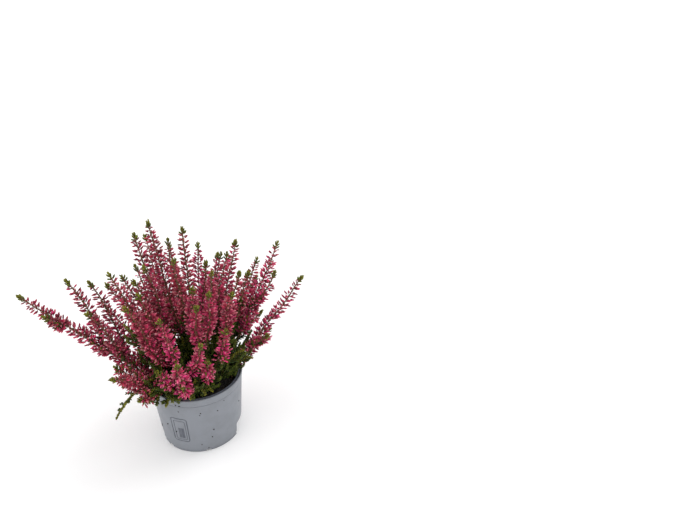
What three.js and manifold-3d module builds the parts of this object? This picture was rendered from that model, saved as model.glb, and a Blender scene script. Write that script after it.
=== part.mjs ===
// A potted bud-flowering heather: nursery pot, peat, flower sprays and leafy shoots.
// Millimetres, +Z up, origin on the floor under the middle of the pot, front towards -Y.
import * as THREE from 'three';
import Module from 'manifold-3d';

// Pot sizes
const RIM_R = 53;            // outside radius of the rim
const RIM_TOP = 81;          // height of the rim
const BAND_H = 9;            // height of the thicker band under the rim
const BASE_R = 45.5;         // outside radius at the foot
const WALL = 1.5;            // wall thickness
const FOOT_RISE = 2.6;       // the ring of floor with the drain holes stands this high
const PAD_R = 22;            // radius of the flat pad in the middle of the underside
const DRAIN_R = 3.6;
const DRAIN_AT = 30.4;       // drain holes stand on this radius
const NOTCHES = 6;           // and as many drain holes
const NOTCH_TURN = 3.6;      // degrees, first notch from the front towards +X
const DENT_AT = [80, 260];   // degrees, two grips pressed into the wall at the foot
const DENT_HALF = 26;        // half their width in degrees
const DENT_DEEP = 6.4;
const DENT_TOP = 19;
const SIDES = 32;

// Peat sizes
const SOIL_TOP = 72;
const CLEAR = 0.3;           // gap between neighbouring pieces
const ROOT_DEPTH = 11;       // how deep a stem stands in its hole

// Stem, bud and leaf sizes
const STEM_R = 1.15;
const TWIG_R = 1.1;
const BUD_STEP = 15.4;       // from one whorl of buds to the next
const BUD_LONG = 5.8;
const BAND = 2.3;            // length of stem taken up by one whorl
const LEAF_STEP = 11.8;
const LEAN = { bud: 0.62, leaf: 0.9, end: 1.3 };  // how far each kind leans along the stem
const LEAF_LONG = 5;
const ARCH = 13;             // extra rise that carries low stems over the rim
const TIP_LONG = 9;          // green leafy end of every flower spike

const COLOUR = {
  pot: 0x8c949c, peat: 0x2e231b, bud: 0xb0285c, shoot: 0x6b8a35,
};

// Flower sprays: root on the peat, main tip, then side spikes as [fraction, tip]
const SPRAYS = [
  { root: [-26, -4], tip: [-157, -20, 221],
    sides: [[0.72, [-137, -36, 203]], [0.5, [-115, 2, 220]], [0.34, [-96, 17, 206]],
      [0.36, [-98, -32, 198]]] },
  { root: [-17, -9], tip: [-70, -25, 236],
    sides: [[0.34, [-60, 4, 216]], [0.3, [-50, -12, 217]], [0.24, [-47, -36, 214]],
      [0.2, [-58, -52, 212]]] },
  { root: [-12, 4], tip: [-44, 22, 254], sides: [[0.3, [-36, -4, 228]]] },
  { root: [-4, 10], tip: [-28, 36, 259],
    sides: [[0.3, [-36, 72, 225]], [0.26, [-12, 78, 214]]] },
  { root: [3, 0], tip: [6, 22, 254], sides: [[0.32, [-6, -8, 234]]] },
  { root: [7, 17], tip: [22, 85, 201], sides: [[0.3, [26, 34, 203]]] },
  { root: [8, -9], tip: [30, -22, 220],
    sides: [[0.3, [24, -50, 213]], [0.24, [8, -58, 205]], [0.28, [8, -33, 212]]] },
  { root: [15, 8], tip: [64, 58, 212], sides: [[0.42, [46, 70, 192]], [0.3, [50, 32, 212]]] },
  { root: [20, 0], tip: [86, 46, 192],
    sides: [[0.42, [72, 14, 194]], [0.28, [58, -10, 210]], [0.2, [46, -44, 206]]] },
  { root: [28, 4], tip: [110, 40, 212], sides: [[0.5, [100, 14, 190]]] },
  { root: [27, -7], tip: [130, 4, 184], sides: [[0.36, [82, -22, 132]], [0.3, [90, 8, 118]]] },
  { root: [-24, -18], tip: [-83, -70, 142], arch: ARCH,
    sides: [[0.5, [-80, -44, 137]], [0.34, [-62, -66, 106]], [0.24, [-76, -46, 116]]] },
  { root: [-9, -25], tip: [-28, -70, 203],
    sides: [[0.24, [-18, -95, 164]], [0.3, [8, -78, 172]], [0.2, [-38, -66, 138]],
      [0.14, [-14, -74, 120]]] },
  { root: [12, -20], tip: [36, -60, 172], sides: [[0.2, [13, -66, 142]]] },
  { root: [-15, 19], tip: [-52, 88, 180],
    sides: [[0.34, [-84, 62, 176]], [0.24, [-66, 68, 128]]] },
  { root: [-5, 25], tip: [-10, 112, 188],
    sides: [[0.3, [-30, 126, 142]], [0.24, [4, 92, 122]]] },
  { root: [12, 26], tip: [44, 100, 176], sides: [[0.3, [28, 122, 146]]] },
  { root: [22, 18], tip: [88, 84, 146], arch: ARCH, sides: [[0.34, [87, 50, 116]]] },
  { root: [-26, 9], tip: [-88, 50, 154], sides: [[0.3, [-94, 18, 127]]] },
];

// Leafy green shoots: root on the peat, tip
const SHOOTS = [
  { root: [-20, -26], tip: [-64, -36, 182] },
  { root: [-31, -13], tip: [-52, -46, 112] },
  { root: [-15, -31], tip: [-36, -57, 112] },
  { root: [-1, -32], tip: [-2, -60, 112] },
  { root: [3, -22], tip: [10, -46, 134] },
  { root: [21, -14], tip: [52, -40, 128] },
  { root: [36, 2], tip: [70, 10, 106] },
  { root: [34, 12], tip: [66, 36, 124] },
  { root: [28, 27], tip: [48, 58, 116] },
  { root: [3, 35], tip: [6, 66, 116] },
  { root: [-18, 30], tip: [-34, 60, 118] },
  { root: [-33, 18], tip: [-58, 41, 108] },
  { root: [-36, 0], tip: [-72, -6, 112] },
  { root: [-21, -11], tip: [-88, -46, 70], arch: 60 },
  { root: [-9, -15], tip: [-20, -38, 142] },
  { root: [-19, 3], tip: [-46, 4, 140] },
  { root: [17, -10], tip: [38, -32, 140] },
  { root: [22, 10], tip: [46, 22, 138] },
  { root: [2, 11], tip: [6, 42, 142] },
  { root: [-13, 12], tip: [-36, 34, 140] },
  { root: [36, -9], tip: [62, -26, 106] },
  { root: [-27, 23], tip: [-50, 52, 112] },
  { root: [-8, 35], tip: [-15, 48, 130] },
  { root: [-5, -2], tip: [-9, 6, 126] },
  { root: [-28, -23], tip: [-49, -56, 104] },
];

// Sums with places and directions
const add = (a, b) => a.map((v, i) => v + b[i]);
const sub = (a, b) => a.map((v, i) => v - b[i]);
const mul = (a, s) => a.map((v) => v * s);
const dot = (a, b) => a[0] * b[0] + a[1] * b[1] + a[2] * b[2];
const cross = (a, b) => [a[1] * b[2] - a[2] * b[1], a[2] * b[0] - a[0] * b[2],
  a[0] * b[1] - a[1] * b[0]];
const len = (a) => Math.hypot(...a);
const unit = (a) => mul(a, 1 / (len(a) || 1));
const jitter = (i, k) => {
  const s = Math.sin(i * 12.9898 + k * 78.233) * 43758.5453;
  return s - Math.floor(s);
};

// Joining and cutting of closed bodies
const wasm = await Module();
wasm.setup();

function toSolid(verts, tris) {
  const mesh = new wasm.Mesh({ numProp: 3, vertProperties: new Float32Array(verts.flat()),
    triVerts: new Uint32Array(tris.flat()) });
  mesh.merge();
  return new wasm.Manifold(mesh);
}

const group = new THREE.Group();
group.name = 'potted_heather';

function addPart(name, solid, colour, roughness) {
  const mesh = solid.getMesh();
  const n = mesh.numProp;
  const pos = new Float32Array((mesh.vertProperties.length / n) * 3);
  for (let i = 0; i < pos.length / 3; i += 1) {
    for (let k = 0; k < 3; k += 1) pos[i * 3 + k] = mesh.vertProperties[i * n + k];
  }
  const geometry = new THREE.BufferGeometry();
  geometry.setAttribute('position', new THREE.BufferAttribute(pos, 3));
  geometry.setIndex(new THREE.BufferAttribute(new Uint32Array(mesh.triVerts), 1));
  geometry.computeVertexNormals();
  const material = new THREE.MeshStandardMaterial({ color: colour, roughness, metalness: 0 });
  const part = new THREE.Mesh(geometry, material);
  part.name = name;
  group.add(part);
}

// How far the wall is pressed in at a place: deepest low down, running out at the top
function dent(x, y, z) {
  const bearing = (Math.atan2(x, -y) * 180) / Math.PI;
  const away = Math.min(...DENT_AT.map((a) => Math.abs(((bearing - a + 540) % 360) - 180)));
  if (away > DENT_HALF || z > DENT_TOP) return 0;
  const across = Math.cos((away / DENT_HALF) * (Math.PI / 2)) ** 0.7;
  return DENT_DEEP * across * Math.min(1, (DENT_TOP - z) / (DENT_TOP - 7));
}

// Turned bodies: a closed outline of [radius, height, dented], turned about Z
function turned(outline, sides, lift = () => 0) {
  const verts = [];
  const tris = [];
  const rows = outline.map(([r0, z, dented], j) => {
    let r = r0;
    if (r === 0) {
      verts.push([0, 0, z + lift(0, 0, j)]);
      return [verts.length - 1];
    }
    const row = [];
    for (let i = 0; i < sides; i += 1) {
      const a = (i / sides) * 2 * Math.PI;
      if (dented) r = r0 - dent(Math.cos(a), Math.sin(a), z);
      const x = r * Math.cos(a);
      const y = r * Math.sin(a);
      verts.push([x, y, z + lift(x, y, j)]);
      row.push(verts.length - 1);
    }
    return row;
  });
  for (let j = 0; j < rows.length; j += 1) {
    const a = rows[j];
    const b = rows[(j + 1) % rows.length];
    if (a.length === 1 && b.length === 1) continue;
    for (let i = 0; i < sides; i += 1) {
      const k = (i + 1) % sides;
      if (a.length > 1) tris.push([a[i], a[k], b[b.length > 1 ? i : 0]]);
      if (b.length > 1) tris.push([a[a.length > 1 ? k : 0], b[k], b[i]]);
    }
  }
  return toSolid(verts, tris);
}

// Upright cutter with straight sides: a flat outline lifted from z0 to z1
function prism(points, z0, z1) {
  const n = points.length;
  const verts = [...points.map(([x, y]) => [x, y, z0]), ...points.map(([x, y]) => [x, y, z1])];
  const tris = [];
  for (let i = 0; i < n; i += 1) {
    const k = (i + 1) % n;
    tris.push([i, k, n + k], [i, n + k, n + i]);
    if (i > 0 && i < n - 1) tris.push([0, i + 1, i], [n, n + i, n + i + 1]);
  }
  return toSolid(verts, tris);
}

const circle = (x, y, r, n) => Array.from({ length: n }, (_, i) => {
  const a = (i / n) * 2 * Math.PI;
  return [x + r * Math.cos(a), y + r * Math.sin(a)];
});

// Block lying across the wall at a bearing, counted from the front (-Y) towards +X
function wallBlock(bearing, width, rIn, rOut) {
  const a = (bearing * Math.PI) / 180;
  const out = [Math.sin(a), -Math.cos(a)];
  const side = [Math.cos(a), Math.sin(a)];
  return [[rIn, -width / 2], [rOut, -width / 2], [rOut, width / 2], [rIn, width / 2]]
    .map(([r, s]) => [out[0] * r + side[0] * s, out[1] * r + side[1] * s]);
}

// Pot: thin tapered wall, band and grooved rim at the top, foot ring and pad below
function buildPot() {
  const bandZ = RIM_TOP - BAND_H;
  const floorTop = FOOT_RISE + 1.6;
  const outline = [
    [0, 0], [PAD_R, 0], [PAD_R + 1.6, FOOT_RISE], [BASE_R - 3.2, FOOT_RISE, true],
    [BASE_R - 2.2, 0, true], [BASE_R, 0, true], [BASE_R, 4, true], [BASE_R + 0.7, 4.6, true],
    [BASE_R + 0.9, 7, true], [BASE_R + 1.6, DENT_TOP, true], [RIM_R - 2.3, bandZ - 0.6],
    [RIM_R - 1, bandZ], [RIM_R, RIM_TOP - 0.7], [RIM_R - 0.8, RIM_TOP],
    [RIM_R - 1.5, RIM_TOP - 0.2], [RIM_R - 2, RIM_TOP - 1.6], [RIM_R - 3.1, RIM_TOP - 1.6],
    [RIM_R - 3.5, RIM_TOP - 0.2], [RIM_R - 4.6, RIM_TOP - 0.2], [RIM_R - 4.9, bandZ],
    [RIM_R - 3.6 - WALL, bandZ - 3], [BASE_R - 0.1 - WALL, DENT_TOP, true],
    [BASE_R - 0.8 - WALL, 7, true], [BASE_R - 2.2 - WALL, floorTop, true],
    [PAD_R + 1, floorTop], [PAD_R - 1, floorTop - 1.6], [0, floorTop - 1.6],
  ];
  let pot = turned(outline, SIDES);
  for (let i = 0; i < NOTCHES; i += 1) {
    const bearing = NOTCH_TURN + (i * 360) / NOTCHES;
    pot = pot.subtract(prism(wallBlock(bearing, 6, BASE_R - 11, BASE_R + 4), -1, 2.2));
    const a = ((bearing + 180 / NOTCHES) * Math.PI) / 180;
    const hole = circle(DRAIN_AT * Math.sin(a), -DRAIN_AT * Math.cos(a), DRAIN_R, 12);
    pot = pot.subtract(prism(hole, -1, 9));
  }
  return pot;
}

// Bent centre line of a stem: three control points, bending in one plane
function bezier(p0, p1, p2) {
  let side = cross(sub(p1, p0), sub(p2, p1));
  if (len(side) < 1e-3 * len(sub(p2, p0)) ** 2) side = cross(sub(p2, p0), [1, 0.3, 0]);
  side = unit(side);
  const at = (t) => add(add(mul(p0, (1 - t) ** 2), mul(p1, 2 * t * (1 - t))), mul(p2, t * t));
  const dir = (t) => unit(add(mul(sub(p1, p0), 1 - t), mul(sub(p2, p1), t)));
  const steps = 40;
  const sum = [0];
  for (let i = 1; i <= steps; i += 1) {
    sum.push(sum[i - 1] + len(sub(at(i / steps), at((i - 1) / steps))));
  }
  const whole = sum[steps];
  const param = (s) => {
    const d = Math.min(Math.max(s, 0), whole);
    let i = 1;
    while (i < steps && sum[i] < d) i += 1;
    return (i - 1 + (d - sum[i - 1]) / (sum[i] - sum[i - 1])) / steps;
  };
  return { at, dir, side, whole, param };
}

// Line of a main stem from its root in the peat, and of a side spike from its stem
function mainCurve(root, tip, arch) {
  const p0 = [root[0], root[1], SOIL_TOP - ROOT_DEPTH];
  return bezier(p0, add(mul(add(p0, tip), 0.5), [0, 0, arch]), tip);
}

function sideCurve(parent, t, tip) {
  const p0 = parent.at(t);
  const chord = sub(tip, p0);
  const along = parent.dir(t);
  const off = unit(sub(chord, mul(along, dot(chord, along))));
  const start = unit(add(unit(chord), mul(off, 0.4)));
  return bezier(p0, add(p0, mul(start, 0.45 * len(chord))), tip);
}

// Three points round the centre line
function ringAt(curve, s, radius, turn) {
  const t = curve.param(s);
  const c = curve.at(t);
  const d = curve.dir(t);
  const u = cross(curve.side, d);
  return [0, 1, 2].map((k) => {
    const a = turn + (k * 2 * Math.PI) / 3;
    return add(c, add(mul(u, radius * Math.cos(a)), mul(curve.side, radius * Math.sin(a))));
  });
}

// One stem as a closed body: whorls are [distance, kind, keep], kind bud, leaf or end leaf.
// A whorl is a band of six facets, and a bud or a leaf rises from each with room for it.
function stemBody(curve, radius, whorls, tipRadius) {
  const verts = [];
  const tris = [];
  const put = (p) => { verts.push(p); return verts.length - 1; };
  const span = (a, b) => {
    for (let k = 0; k < 3; k += 1) {
      const m = (k + 1) % 3;
      tris.push([a[k], a[m], b[m]], [a[k], b[m], b[k]]);
    }
  };
  const spike = (face, top) => {
    face.forEach((v, k) => tris.push([v, face[(k + 1) % face.length], top]));
  };
  let turn = jitter(curve.whole, 1) * 2;
  let last = ringAt(curve, 0, radius, turn).map(put);
  tris.push([last[0], last[2], last[1]]);
  whorls.forEach(({ s, kind, grow }) => {
    const shrink = radius + ((tipRadius - radius) * s) / curve.whole;
    const a = ringAt(curve, s, shrink, turn).map(put);
    span(last, a);
    turn += Math.PI / 3;
    const b = ringAt(curve, s + BAND, shrink, turn).map(put);
    for (let k = 0; k < 3; k += 1) {
      const m = (k + 1) % 3;
      const low = [a[k], a[m], b[k]];
      const high = [a[m], b[m], b[k]];
      const faces = [[low, grow[k]], [high, grow[3 + k]]];
      faces.forEach(([face, size]) => {
        if (!size) {
          tris.push(face);
          return;
        }
        const { foot, dir } = facetFrame(curve, s, face.map((v) => verts[v]), kind);
        spike(face, put(add(foot, mul(dir, (kind === 'bud' ? BUD_LONG : LEAF_LONG) * size))));
      });
    }
    last = b;
  });
  const end = put(curve.at(1));
  spike(last, end);
  return { verts, tris };
}

// Where the bud or leaf of one facet starts, and which way it points
function facetFrame(curve, s, face, kind) {
  const foot = mul(add(add(face[0], face[1]), face[2]), 1 / 3);
  const t = curve.param(s + BAND / 2);
  const d = curve.dir(t);
  const out0 = sub(foot, curve.at(t));
  const out = unit(sub(out0, mul(d, dot(out0, d))));
  const lean = LEAN[kind];
  return { foot, dir: unit(add(out, mul(d, lean))) };
}

// All centre lines first, so that buds can be kept out of the neighbours' room
const lines = [];
const plants = SPRAYS.map((spray, n) => {
  const main = mainCurve(spray.root, spray.tip, spray.arch ?? 0);
  const sides = spray.sides.map(([t, tip]) => ({ from: t, curve: sideCurve(main, t, tip) }));
  lines.push({ n, curve: main });
  sides.forEach(({ curve }) => lines.push({ n, curve }));
  return { n, main, sides };
});
const greens = SHOOTS.map((shoot, k) => {
  const n = 100 + k;
  const main = mainCurve(shoot.root, shoot.tip, shoot.arch ?? 2 * ARCH);
  lines.push({ n, curve: main });
  return { n, main };
});
lines.forEach((line) => {
  line.points = Array.from({ length: 61 }, (_, i) => line.curve.at(i / 60));
});

// Shortest way from a place to a centre line
function distanceTo(p, line, skip = 1) {
  let best = 1e9;
  for (let i = 0; i < line.points.length - skip; i += skip) {
    const a = line.points[i];
    const ab = sub(line.points[i + skip], a);
    const t = Math.min(1, Math.max(0, dot(sub(p, a), ab) / dot(ab, ab)));
    best = Math.min(best, len(sub(p, add(a, mul(ab, t)))));
  }
  return best;
}

// Largest of a few sizes at which a bud or leaf stays on its own side of the gap
function roomFor(n, curve, s, k, turn, radius, kind) {
  const up = k > 2;
  const a = turn + ((k % 3) * 2 * Math.PI) / 3 + (up ? (2 * Math.PI) / 3 : Math.PI / 3);
  const t = curve.param(s + BAND / 2);
  const c = curve.at(t);
  const d = curve.dir(t);
  const out = add(mul(cross(curve.side, d), Math.cos(a)), mul(curve.side, Math.sin(a)));
  const lean = LEAN[kind];
  const dir = unit(add(out, mul(d, lean)));
  const foot = add(c, mul(out, radius * 0.6));
  const long = kind === 'bud' ? BUD_LONG : LEAF_LONG;
  const fat = 1.6;
  const own = lines.find((line) => line.curve === curve);
  const near = lines.filter((line) => line !== own && distanceTo(c, line, 5) < 30);
  for (const size of [1, 0.8, 0.62]) {
    const fits = [[0.35, fat + 0.5], [0.7, fat * 0.5 + 0.5], [1, 0.7]].every(([f, room]) => {
      const p = add(foot, mul(dir, long * size * f));
      const r = Math.hypot(p[0], p[1]);
      if (r < RIM_R + 2.5 && p[2] < (r > RIM_R - 8 ? RIM_TOP + 2 : SOIL_TOP + 4)) return false;
      const mine = distanceTo(p, own);
      return near.every((line) => distanceTo(p, line) - mine
        > (line.n === n ? room * 0.4 : room));
    });
    if (fits) return size;
  }
  return 0;
}

// Whorls along one stem: leaves at the bottom, buds above, leaves again at the tip
function whorlsFor(n, curve, start, flowering) {
  const list = [];
  let turn = jitter(curve.whole, 1) * 2;
  const radius = STEM_R;
  const push = (s, kind) => {
    const full = kind === 'end' && !flowering ? 3 : 6;
    const grow = [0, 1, 2, 3, 4, 5].map((k) => (k < full
      ? roomFor(n, curve, s, k, turn, radius, kind) : 0));
    list.push({ s, kind, grow });
    turn += Math.PI / 3;
  };
  const end = curve.whole - TIP_LONG;
  if (flowering) {
    let s = start;
    while (s < flowering) { push(s, 'leaf'); s += LEAF_STEP * 1.5; }
    s = Math.max(s, flowering);
    while (s < end - 3) { push(s, 'bud'); s += BUD_STEP; }
    push(end, 'end');
  } else {
    let s = start;
    while (s < curve.whole - 8.5) { push(s, 'leaf'); s += LEAF_STEP; }
    push(curve.whole - 5.5, 'end');
  }
  return list;
}

// Peat: lumpy top, filled down to the pot's floor, with a plain hole for every stem
function buildPeat() {
  const lump = (x, y, j) => (j > 3 ? 0 : 1.1 * Math.sin(x * 0.31 + 1.3) * Math.cos(y * 0.27)
    + 0.9 * Math.sin(x * 0.12 - y * 0.17));
  const floor = FOOT_RISE + 1.6 + CLEAR;
  const bandZ = RIM_TOP - BAND_H;
  const outline = [
    [0, SOIL_TOP], [12, SOIL_TOP], [24, SOIL_TOP - 0.3], [36, SOIL_TOP - 1],
    [RIM_R - 3.6 - WALL - CLEAR - 0.9, bandZ - 6], [BASE_R - 1.8 - WALL - CLEAR, DENT_TOP, true],
    [BASE_R - 2.6 - WALL - CLEAR, 7.4, true], [BASE_R - 4 - WALL, floor + 0.3, true],
    [PAD_R + 0.6, floor + 0.3], [0, floor + 0.3],
  ];
  let peat = turned(outline.reverse(), SIDES, (x, y, j) => lump(x, y, outline.length - 1 - j));
  [...plants, ...greens].forEach(({ main }) => {
    const radius = 1.9 * STEM_R;
    const verts = [];
    const tris = [];
    const n = 4;
    const mid = main.param(ROOT_DEPTH * 0.6);
    [-0.6 * ROOT_DEPTH - 0.8, ROOT_DEPTH].forEach((s) => {
      const d = main.dir(mid);
      const c = add(main.at(mid), mul(d, s));
      const u = cross(main.side, d);
      for (let i = 0; i < n; i += 1) {
        const a = (i / n) * 2 * Math.PI;
        verts.push(add(c, add(mul(u, radius * Math.cos(a)), mul(main.side, radius * Math.sin(a)))));
      }
    });
    for (let i = 0; i < n; i += 1) {
      const k = (i + 1) % n;
      tris.push([i, k, n + k], [i, n + k, n + i]);
      if (i > 0 && i < n - 1) tris.push([0, i + 1, i], [n, n + i, n + i + 1]);
    }
    peat = peat.subtract(toSolid(verts, tris));
  });
  return peat;
}

// The assembly: pot, peat, then every spray and shoot as one body
const two = (n) => String(n).padStart(2, '0');
addPart('pot', buildPot(), COLOUR.pot, 0.55);
addPart('peat', buildPeat(), COLOUR.peat, 0.95);
plants.forEach(({ n, main, sides }) => {
  const reach = Math.hypot(main.at(1)[0], main.at(1)[1]);
  const low = main.whole * (0.4 - 0.2 * Math.min(1, reach / 100));
  const bloom = Math.max(low, ROOT_DEPTH + 26);
  let list = whorlsFor(n, main, ROOT_DEPTH + 12, bloom);
  const joints = sides.map(({ from }) => {
    let s = 0;
    while (main.param(s) < from) s += 0.5;
    return s;
  });
  list.forEach((w) => {
    if (joints.some((s) => Math.abs(s - w.s - BAND / 2) < 3.5)) w.grow = w.grow.map(() => 0);
  });
  const stem = stemBody(main, STEM_R, list, 0.8);
  let spray = toSolid(stem.verts, stem.tris);
  sides.forEach(({ curve }) => {
    const whorls = whorlsFor(n, curve, 9, Math.max(9, curve.whole * 0.2));
    const twig = stemBody(curve, TWIG_R, whorls, 0.75);
    spray = spray.add(toSolid(twig.verts, twig.tris));
  });
  addPart(`flower_spray_${two(n + 1)}`, spray, COLOUR.bud, 0.7);
});
greens.forEach(({ n, main }) => {
  const list = whorlsFor(n, main, ROOT_DEPTH + 8, 0);
  const stem = stemBody(main, STEM_R, list, 0.8);
  addPart(`leafy_shoot_${two(n - 99)}`, toSolid(stem.verts, stem.tris), COLOUR.shoot, 0.7);
});

export default group;
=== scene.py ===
import bpy
import numpy as np
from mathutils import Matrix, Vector


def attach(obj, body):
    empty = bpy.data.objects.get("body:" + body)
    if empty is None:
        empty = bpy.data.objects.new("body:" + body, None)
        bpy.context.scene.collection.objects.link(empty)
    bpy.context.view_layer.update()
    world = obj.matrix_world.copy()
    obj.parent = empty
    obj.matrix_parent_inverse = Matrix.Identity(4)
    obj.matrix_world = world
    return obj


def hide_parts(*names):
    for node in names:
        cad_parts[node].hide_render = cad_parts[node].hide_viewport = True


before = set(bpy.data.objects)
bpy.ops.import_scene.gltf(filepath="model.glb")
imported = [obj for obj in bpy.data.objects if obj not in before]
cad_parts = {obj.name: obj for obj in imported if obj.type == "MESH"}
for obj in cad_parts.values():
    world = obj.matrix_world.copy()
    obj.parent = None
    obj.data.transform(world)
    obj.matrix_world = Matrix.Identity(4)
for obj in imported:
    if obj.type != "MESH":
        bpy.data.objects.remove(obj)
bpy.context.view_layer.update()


# The nursery pot. Grey-blue polypropylene, injection moulded in one piece: a thin tapered
# wall, a thicker band and a grooved rim at the top, a foot ring with drain notches below.
RIM_RADIUS = 0.053
RIM_TOP = 0.081
BAND_BOTTOM = 0.072
FOOT_RADIUS = 0.0455
WALL = 0.0015
FLOOR_UNDERSIDE = 0.0026
FLOOR_TOP = 0.0042
PAD_RADIUS = 0.022
NOTCHES = 6
NOTCH_BEARING = np.radians(3.6)
NOTCH_SIZE = (0.006, 0.0022)
DRAIN_RADIUS = 0.0036
DRAIN_AT = 0.0304
GRIP_BEARINGS = np.radians([80.0, 260.0])  # from the front towards +X, as every bearing here
GRIP_HALF_WIDTH = np.radians(26.0)
GRIP_POWER = 0.35
GRIP_DEPTH = 0.0068
GRIP_TOP = 0.0172
GRIP_FULL = 0.0058  # the grip is at full depth below this height
PANEL_BEARING = np.radians(-32.0)
PANEL_RADIUS = 0.0475  # of the wall at the panel
PANEL_MIDDLE = 0.0345
PANEL_HALF = (0.0093, 0.0176)  # half the width and half the height of its frame
INNER_HALF = (0.0064, 0.0142)
RIB_FIELD_HALF = (0.0034, 0.0080)
RIB_PITCH = 0.0014
PANEL_GROOVE = 0.0006
PANEL_STEP = 0.0005  # from one row or column of points to the next on the panel
PANEL_REACH = 0.0125  # the close columns run this far to either side of its middle
WALL_STEP = 0.0025
WALL_COLUMNS = 260
POT_COLOUR = (0.218, 0.233, 0.262, 1.0)


def new_piece(name, points, faces, smooth=True):
    """A mesh object at the origin from an array of points and a list of face arrays, each
    array holding faces of three or of four corners."""
    mesh = bpy.data.meshes.new(name)
    corners = np.concatenate([f.ravel() for f in faces]).astype(np.int32)
    sizes = np.concatenate([np.full(len(f), f.shape[1]) for f in faces])
    starts = np.concatenate([[0], np.cumsum(sizes)[:-1]]).astype(np.int32)
    mesh.vertices.add(len(points))
    mesh.vertices.foreach_set("co", np.asarray(points, np.float32).ravel())
    mesh.loops.add(len(corners))
    mesh.loops.foreach_set("vertex_index", corners)
    mesh.polygons.add(len(sizes))
    mesh.polygons.foreach_set("loop_start", starts)
    mesh.update(calc_edges=True)
    mesh.polygons.foreach_set("use_smooth", np.full(len(sizes), smooth))
    piece = bpy.data.objects.new(name, mesh)
    bpy.context.scene.collection.objects.link(piece)
    return piece


def grid_faces(rows, columns, closed_rows=False):
    """Four-cornered faces between neighbouring rows of a grid of points. Each row closes round
    on itself, and with closed_rows the last row joins the first."""
    i, j = np.meshgrid(np.arange(rows if closed_rows else rows - 1), np.arange(columns), indexing="ij")
    i, j = i.ravel(), j.ravel()
    up, right = (i + 1) % rows, (j + 1) % columns
    return np.stack([i * columns + j, i * columns + right, up * columns + right, up * columns + j], 1)


def rounded_profile(corners, radius, steps=3):
    """A closed outline whose corners are rounded: each becomes a short curve that starts and
    ends at the given distance from it, or at a third of the shorter side."""
    c = np.asarray(corners, float)
    before, after = np.roll(c, 1, 0) - c, np.roll(c, -1, 0) - c
    reach = np.minimum(radius, np.minimum(*[np.linalg.norm(v, axis=1) / 3 for v in (before, after)]))
    a = c + before * (reach / np.linalg.norm(before, axis=1))[:, None]
    b = c + after * (reach / np.linalg.norm(after, axis=1))[:, None]
    t = np.linspace(0, 1, steps)[None, :, None]
    curve = a[:, None] * (1 - t) ** 2 + c[:, None] * 2 * t * (1 - t) + b[:, None] * t**2
    return curve.reshape(-1, 2)


def finer(outline, step):
    """The closed outline with points added so that no part of a side is longer than the step
    that is given for that side's middle and two ends."""
    out = []
    for a, b in zip(outline, np.roll(outline, -1, 0)):
        n = max(1, int(np.ceil(np.linalg.norm(b - a) / step((a + b) / 2, a, b))))
        out.append(a + (b - a) * np.linspace(0, 1, n, endpoint=False)[:, None])
    return np.concatenate(out)


def grip_depth(bearing, height):
    """How far the wall is pressed in: across each grip a cosine to a small power, a hump with a
    flat back and steep ends, which is full depth low down and runs out at the grip's top."""
    away = np.abs((bearing[..., None] - GRIP_BEARINGS + np.pi) % (2 * np.pi) - np.pi).min(-1)
    across = np.cos(np.clip(away / GRIP_HALF_WIDTH, 0, 1) * np.pi / 2) ** GRIP_POWER
    return GRIP_DEPTH * across * np.clip((GRIP_TOP - height) / (GRIP_TOP - GRIP_FULL), 0, 1)


def frame_line(x, y, half_x, half_y, corner, half_line):
    """For a line along a rounded rectangle: one on the line and nought away from it, with soft
    edges, and each place's distance outside the rectangle, below nought inside it."""
    qx, qy = np.abs(x) - half_x + corner, np.abs(y) - half_y + corner
    edge = np.hypot(np.maximum(qx, 0), np.maximum(qy, 0)) + np.minimum(np.maximum(qx, qy), 0) - corner
    return np.clip((half_line - np.abs(edge)) / 0.0003 + 0.5, 0, 1), edge


def panel_depth(bearing, height):
    """Depth of the moulded panel, from nought to one: a plain frame with a second one inside
    it and a field of even upright ribs."""
    x = (bearing - PANEL_BEARING) * PANEL_RADIUS
    y = height - PANEL_MIDDLE
    outer, _ = frame_line(x, y, *PANEL_HALF, 0.003, 0.0004)
    inner, _ = frame_line(x - 0.0004, y + 0.0004, *INNER_HALF, 0.0012, 0.0003)
    _, outside = frame_line(x - 0.0014, y + 0.0048, *RIB_FIELD_HALF, 0.0004, 0.0004)
    ribs = np.clip(-outside / 0.0004, 0, 1) * (0.45 + 0.55 * (np.cos(x * 2 * np.pi / RIB_PITCH) > 0))
    return np.maximum(np.maximum(outer, inner), ribs)


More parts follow.
